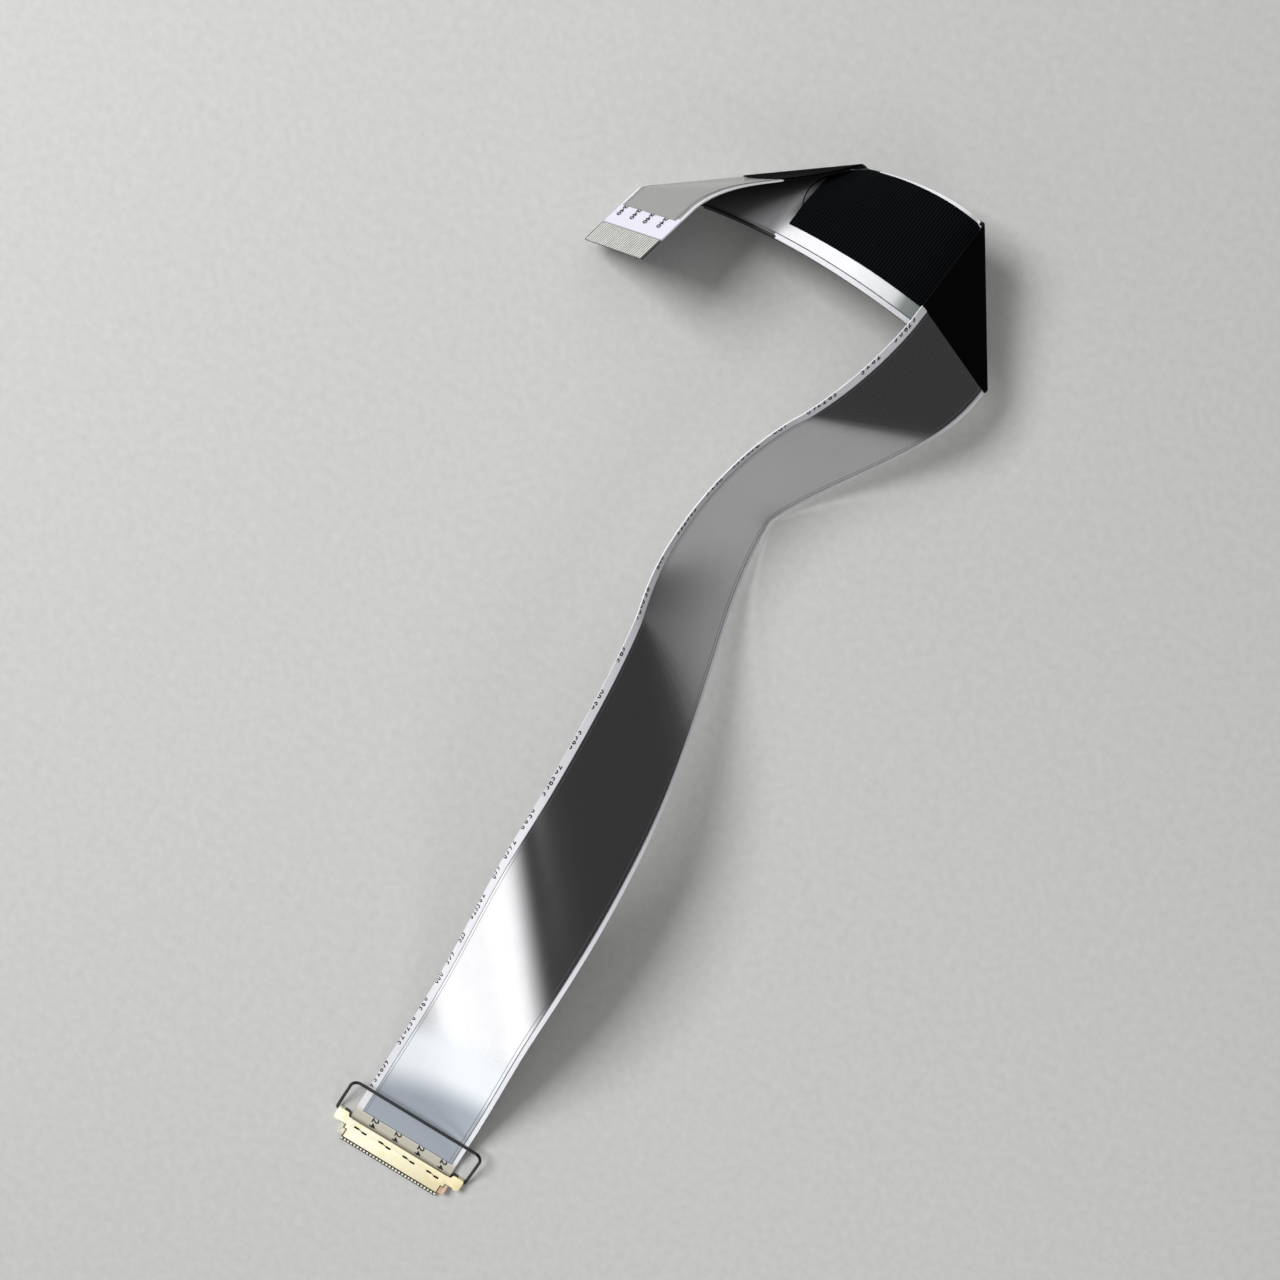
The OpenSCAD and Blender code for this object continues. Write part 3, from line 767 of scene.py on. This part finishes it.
class FLEX_OT_tapes(Operator):
    """Build the cloth tapes round the folds"""

    bl_idname = "flex.tapes"
    bl_label = "Cloth tapes"

    def execute(self, context):
        look = settings()
        half, tape = look.width / MM / 2, look.tape / MM
        under = (look.thick / 2 + look.film) / MM
        black = plastic("wrap_tape", finishes().wrap, 0.7, gloss=0.02)
        self.wrap(half, under, tape, black)
        self.ribbed(half, under, tape, look.rib_pitch / MM)
        self.bowed_dark_line(under, black)
        return {"FINISHED"}

    def wrap(self, half, under, tape, black):
        """The plain tape round both folds, torn off at its far end."""
        bm = bmesh.new()
        add_slab(bm, -half, half, WRAP_START, WRAP_END + 8, under, under + tape)
        cut_line(bm, WRAP_END, WRAP_LEAN, clear=True)
        for i in range(1, TEAR_CUTS + 1):
            cut_across(bm, -half + i * TEAR_STEP)
        chance = random.Random(5)
        torn = {}
        for vert in bm.verts:
            v, s, _ = vert.co
            if abs(s - WRAP_END - WRAP_LEAN * v) < 0.01:
                vert.co.y += torn.setdefault(round(v, 2), chance.uniform(-0.28, 0.02))
        cut_bends(bm)
        finish_piece(bend(bm, "tape_round_folds"), black, "cable", "wrap_tape", "tape_wrap")

    def ribbed(self, half, under, tape, pitch):
        """The ribbed cloth between the folds; its corner stops short of the second one."""
        bm = bmesh.new()
        outer = -under - tape
        add_slab(bm, -half + RIBBED_NEAR, half - RIBBED_FAR,
                 RIBBED_START, RIBBED_END, outer, -under)
        cut_line(bm, FOLD_2 - 1.3, math.tan(math.radians(FOLD_2_SKEW)), clear=True)
        # The ribs lean, so their cuts start before the tape and end past it.
        first = RIBBED_START - 0.7
        count = int((RIBBED_END - RIBBED_START + 1.5) / pitch * RIB_CUTS)
        cut_bends(bm, [(first + i * pitch / RIB_CUTS, RIB_LEAN) for i in range(count)])

        def rib(v, s, d):
            turn = 2 * math.pi * (s - RIB_LEAN * v) / pitch
            return -RIB_HEIGHT * (1 - math.cos(turn)) / 2 if d < outer + 0.01 else 0

        piece = bend(bm, "tape_ribbed_cloth", rib)
        finish_piece(piece, cloth_material(), "cable", "cloth_tape", "tape_ribbed")

    def bowed_dark_line(self, under, black):
        """A thin dark line that bows out past the cut end of the ribbed tape."""
        bm = bmesh.new()
        start, stop, bow, pieces = -4.6, 2.0, 0.9, 24
        add_slab(bm, start, stop, RIBBED_END + 0.02, RIBBED_END + 0.16, -under - 0.05, -under)
        for i in range(1, pieces):
            cut_across(bm, start + (stop - start) * i / pieces)
        for vert in bm.verts:
            f = (vert.co.x - start) / (stop - start)
            vert.co.y += bow * 4 * f * (1 - f)
        cut_bends(bm)
        finish_piece(bend(bm, "tape_bowed_line"), black, "cable", "wrap_tape")


class FLEX_OT_print(Operator):
    """Print the numbers, the row of marks along the edge and the lines beside the films"""

    bl_idname = "flex.print"
    bl_label = "Print"

    def execute(self, context):
        look = settings()
        half, thick, length = look.width / MM / 2, look.thick / MM / 2, look.length / MM
        on_film = thick + look.film / MM
        ink = plastic("print_ink", finishes().ink, 0.6)

        # Size, place across and along, level and angle of each number.
        numbers = bmesh.new()
        for i in range(4):
            v = -4.55 + 3.55 * i
            add_text(numbers, "2", 1.3, v - 0.47, 1.72, thick + 0.03, -90)
            add_text(numbers, "4", 1.25, v - 0.45, 0.95, thick, -90)
            add_text(numbers, "240", 1.2, v + 0.35, length - 6.6, on_film, 90)
        finish_piece(bend(numbers, "printed_numbers"), ink, "cable", "white_film")

        chance = random.Random(11)
        marks = bmesh.new()
        s = MARKS_START
        while s < MARKS_END:
            for _ in range(chance.randint(3, 6)):
                digit = chance.choice("0235689")
                add_text(marks, digit, 1.1, -half + chance.uniform(0.3, 0.5), s, thick, 90)
                s += chance.uniform(0.6, 0.95)
            s += chance.uniform(1.2, 3.6)
        cut_across(marks, -half + 0.01, clear=True)
        finish_piece(bend(marks, "edge_marks"), ink, "cable", "white_film")

        lines = bmesh.new()
        start, stop, top = FILM_START, length - FILM_END_GAP, on_film + LINE_THICK
        for v, wide in ((-half + 1.02, 0.07), (-half + 1.36, 0.05),
                        (half - 0.67, 0.08), (half - 1.12, 0.06)):
            add_slab(lines, v - wide / 2, v + wide / 2, start, stop, on_film, top)
        add_slab(lines, half - 0.73, half - 0.61, FOLD_1 + 3, FOLD_2 - 5, -top, -on_film)
        add_slab(lines, -half + PRINT_MARGIN, half - PLAIN_MARGIN,
                 start - 0.06, start + 0.02, thick, top)
        cut_bends(lines)
        grey = plastic("edge_line", (0.09, 0.09, 0.1, 1), 0.5)
        finish_piece(bend(lines, "film_edge_lines"), grey, "cable", "shield_film")
        return {"FINISHED"}


class FLEX_OT_bare_end(Operator):
    """Build the bare contact strips at the free end"""

    bl_idname = "flex.bare_end"
    bl_label = "Bare contact strips"

    def execute(self, context):
        look = settings()
        thick, length, pitch = look.thick / MM / 2, look.length / MM, look.pitch / MM
        wide = STRIP_WIDTH / 2
        bm = bmesh.new()
        for i in range(look.contacts):
            v = (i - (look.contacts - 1) / 2) * pitch
            add_slab(bm, v - wide, v + wide, length - STRIP_LENGTH, length,
                     thick, thick + STRIP_THICK)
        cut_bends(bm)
        tin = plain_metal("tinned_strip", (0.86, 0.86, 0.82, 1), 0.35, 0.5, metallic=0.25)
        finish_piece(bend(bm, "bare_strips"), tin, "cable", "tinned_strip", "contact_strips")
        return {"FINISHED"}


class FLEX_OT_plug(Operator):
    """Round off the plug's housing, shell and lugs, and finish its contacts"""

    bl_idname = "flex.plug"
    bl_label = "Plug"

    def execute(self, context):
        looks = finishes()
        for node, slot, material, radius in (
            ("plug_housing", "insulator", plastic("insulator", looks.insulator, 0.4), 0.02),
            ("plug_shell", "gold_shell", shell_material(), 0.035),
            ("latch_lugs", "lugs", lug_material(), 0.05),
        ):
            piece = eased_copy(NODES[node], node + "_eased", radius)
            finish_piece(piece, material, "cable", slot, node)

        # Painted shade: dark sheets over the shell's S-shaped windows stand in for the shadowed
        # holes; two bars and a link each.
        bm = bmesh.new()
        low, top, y = 0.98, 1.158, -0.65
        for i in range(4):
            x = (i - 1.5) * WINDOW_SPACING
            for side in (-1, 1):
                bar_x, bar_y = x + side * 0.61, y - side * 0.06
                add_slab(bm, bar_x - 0.36, bar_x + 0.36, bar_y - 0.13, bar_y + 0.13, low, top)
                link = add_slab(bm, -0.15, 0.17, -0.035, 0.035, low, top)
                place = Matrix.Translation((x + side * 0.13, y - side * 0.02, 0))
                lean = Matrix.Rotation(-0.3, 4, "Z")
                bmesh.ops.transform(bm, matrix=place @ lean, verts=link)
        bmesh.ops.scale(bm, vec=(MM, MM, MM), verts=bm.verts[:])
        dark = plastic("window_shade_paint", (0.012, 0.01, 0.008, 1), 0.6, gloss=0.1)
        finish_piece(new_piece(bm, "painted_window_shade"), dark, "cable", "insulator")

        contacts = NODES["plug_contacts"]
        contacts.data.materials.clear()
        contacts.data.materials.append(contact_material())
        return {"FINISHED"}


class FLEX_OT_pull_bar(Operator):
    """Smooth and finish the wire pull bar"""

    bl_idname = "flex.pull_bar"
    bl_label = "Pull bar"

    def execute(self, context):
        piece = eased_copy(NODES["pull_bar"], "pull_bar_wire", 0)
        steel = plain_metal("wire", finishes().wire, 0.22, 0.38)
        finish_piece(piece, steel, "pull_bar", "wire", "pull_bar")
        return {"FINISHED"}


class FLEX_OT_stage(Operator):
    """Build the floor, the lamps, the world and the camera"""

    bl_idname = "flex.stage"
    bl_label = "Stage"

    def execute(self, context):
        scene, stage = context.scene, context.scene.flex_stage
        scene.view_settings.view_transform = "Standard"
        turn = Euler((math.radians(CAMERA_TILT), 0, math.radians(CAMERA_TURN))).to_matrix()
        self.camera(scene, stage.lens, turn)
        self.floor()

        def way(x, y, z):
            """A direction given to the right, up and back of the camera."""
            return (turn @ Vector((x, y, z))).normalized()

        self.world(scene, stage, way)
        # Centre of the light, way to the panel, its distance, its size and its power.
        self.panel("key_panel", Vector((-0.01, 0.07, 0)), way(-0.52, 0.32, 0.79),
                   0.6, 0.26, stage.key_power)
        self.panel("fill_panel", Vector((0.008, 0.035, 0)), way(0.45, -0.5, 0.74),
                   0.2, 0.08, stage.fill_power)
        return {"FINISHED"}

    def camera(self, scene, lens, turn):
        """The camera, which looks down on the part."""
        data = bpy.data.cameras.new("camera")
        data.lens = lens
        data.clip_start, data.clip_end = 0.01, 20
        camera = bpy.data.objects.new("camera", data)
        camera.matrix_world = turn.to_4x4()
        camera.location = turn @ Vector(CAMERA_PLACE)
        scene.collection.objects.link(camera)
        scene.camera = camera

    def floor(self):
        """A pale felt-like floor with painted shade far off, seen in mirrors and by bounced light,
        which for the camera joins the backdrop.
        """
        bm = bmesh.new()
        bmesh.ops.create_grid(bm, x_segments=1, y_segments=1, size=4)
        floor = new_piece(bm, "floor")
        material, tree, shader = new_material("pale_floor")
        place = add(tree, "TexCoord").outputs["Object"]
        seen = add(tree, "LightPath").outputs["Is Camera Ray"]
        away = add(tree, "VectorMath", {0: place, 1: (-0.01, 0.1, 0)}, operation="DISTANCE")
        away = away.outputs["Value"]
        grain = add(tree, "TexNoise", {"Vector": place, "Scale": 900.0, "Detail": 3.0})
        pale = finishes().floor
        felt = mixed(tree, grain.outputs[0], scaled(pale, 0.9), scaled(pale, 1.1))
        # Painted shade: far off, the floor turns dark for every ray but the camera's, as a room
        # floor in shadow.
        painted_far_shade = maths(tree, "MULTIPLY", ranged(tree, away, 0.05, 0.4, smooth=True),
                       maths(tree, "SUBTRACT", 1.0, seen))
        melt = maths(tree, "MULTIPLY", ranged(tree, away, 0.2, 0.5, smooth=True), seen)
        dark = maths(tree, "MAXIMUM", painted_far_shade, melt)
        tone = mixed(tree, dark, felt, (0.04, 0.04, 0.04, 1))
        tree.links.new(tone, shader.inputs["Base Color"])
        glow = maths(tree, "MULTIPLY", melt, BACKDROP)
        tree.links.new(glow, shader.inputs["Emission Strength"])
        shader.inputs["Emission Color"].default_value = (1, 1, 1, 1)
        shader.inputs["Roughness"].default_value = 0.9
        shader.inputs["Specular IOR Level"].default_value = 0.1
        floor.data.materials.append(material)

    def world(self, scene, stage, way):
        """A dim room with soft patches of light, which the foil mirrors."""
        world = bpy.data.worlds.new("studio")
        scene.world = world
        world.use_nodes = True
        tree = world.node_tree
        facing = add(tree, "TexCoord").outputs["Generated"]

        def patch(axis, full, none):
            """Light of one soft patch of the room, against the cosine from its middle."""
            near = add(tree, "VectorMath", {0: facing, 1: axis}, operation="DOT_PRODUCT")
            return ranged(tree, near.outputs["Value"], none, full, smooth=True)

        left = patch(way(-0.86, -0.51, 0), 0.8, 0.45)
        side = maths(tree, "MULTIPLY", left, patch(way(0, 0, -1), -0.28, -0.75))
        light = maths(tree, "MULTIPLY", side, stage.side_window)
        # Towards the patch, cosines where it is full and where it ends, and its light.
        for axis, full, none, strength in (
            ((0.06, 0.5, 0.86), 0.914, 0.766, stage.top_window),
            ((-0.15, -0.2, 0.97), 0.98, 0.93, stage.ceiling_glow),
        ):
            glow = maths(tree, "MULTIPLY", patch(way(*axis), full, none), strength)
            light = maths(tree, "ADD", light, glow)
        light = maths(tree, "ADD", light, stage.room)
        path = add(tree, "LightPath")
        share = ranged(tree, path.outputs["Is Glossy Ray"], 0.0, 1.0, stage.spread, 1.0)
        light = maths(tree, "MULTIPLY", light, share)
        pale = maths(tree, "MULTIPLY", path.outputs["Is Camera Ray"], BACKDROP)
        backdrop = tree.nodes["Background"]
        tree.links.new(maths(tree, "MAXIMUM", light, pale), backdrop.inputs["Strength"])
        backdrop.inputs["Color"].default_value = (1, 1, 1, 1)

    def panel(self, name, centre, direction, distance, size, power):
        """A soft panel that lights the piece and isn't mirrored in it."""
        lamp = bpy.data.lights.new(name, "AREA")
        lamp.size = size
        lamp.energy = power
        held = bpy.data.objects.new(name, lamp)
        held.location = centre + direction * distance
        held.rotation_mode = "QUATERNION"
        held.rotation_quaternion = direction.to_track_quat("Z", "Y")
        held.visible_glossy = False
        bpy.context.scene.collection.objects.link(held)


class FLEX_PT_panel(Panel):
    """Lists the steps that build the cable"""

    bl_label = "Flat Flex Cable"
    bl_idname = "FLEX_PT_panel"
    bl_space_type = "VIEW_3D"
    bl_region_type = "UI"
    bl_category = "Flex Cable"

    def draw(self, context):
        scene = context.scene
        for group in (scene.flex_ribbon, scene.flex_finish, scene.flex_stage):
            box = self.layout.box()
            for name in group.bl_rna.properties.keys():
                if name not in ("rna_type", "name"):
                    box.prop(group, name)
        for step in STEPS:
            self.layout.operator(step.bl_idname)


# The ribbon comes last.
STEPS = (FLEX_OT_stage, FLEX_OT_shields, FLEX_OT_tapes, FLEX_OT_print, FLEX_OT_bare_end,
         FLEX_OT_plug, FLEX_OT_pull_bar, FLEX_OT_ribbon)
CLASSES = (RibbonSettings, FinishSettings, StageSettings, *STEPS, FLEX_PT_panel)


def register():
    for cls in CLASSES:
        bpy.utils.register_class(cls)
    bpy.types.Scene.flex_ribbon = PointerProperty(type=RibbonSettings)
    bpy.types.Scene.flex_finish = PointerProperty(type=FinishSettings)
    bpy.types.Scene.flex_stage = PointerProperty(type=StageSettings)


def unregister():
    del bpy.types.Scene.flex_ribbon
    del bpy.types.Scene.flex_finish
    del bpy.types.Scene.flex_stage
    for cls in reversed(CLASSES):
        bpy.utils.unregister_class(cls)


def main():
    register()
    for step in STEPS:
        group, name = step.bl_idname.split(".")
        getattr(getattr(bpy.ops, group), name)()


if __name__ == "__main__":
    main()
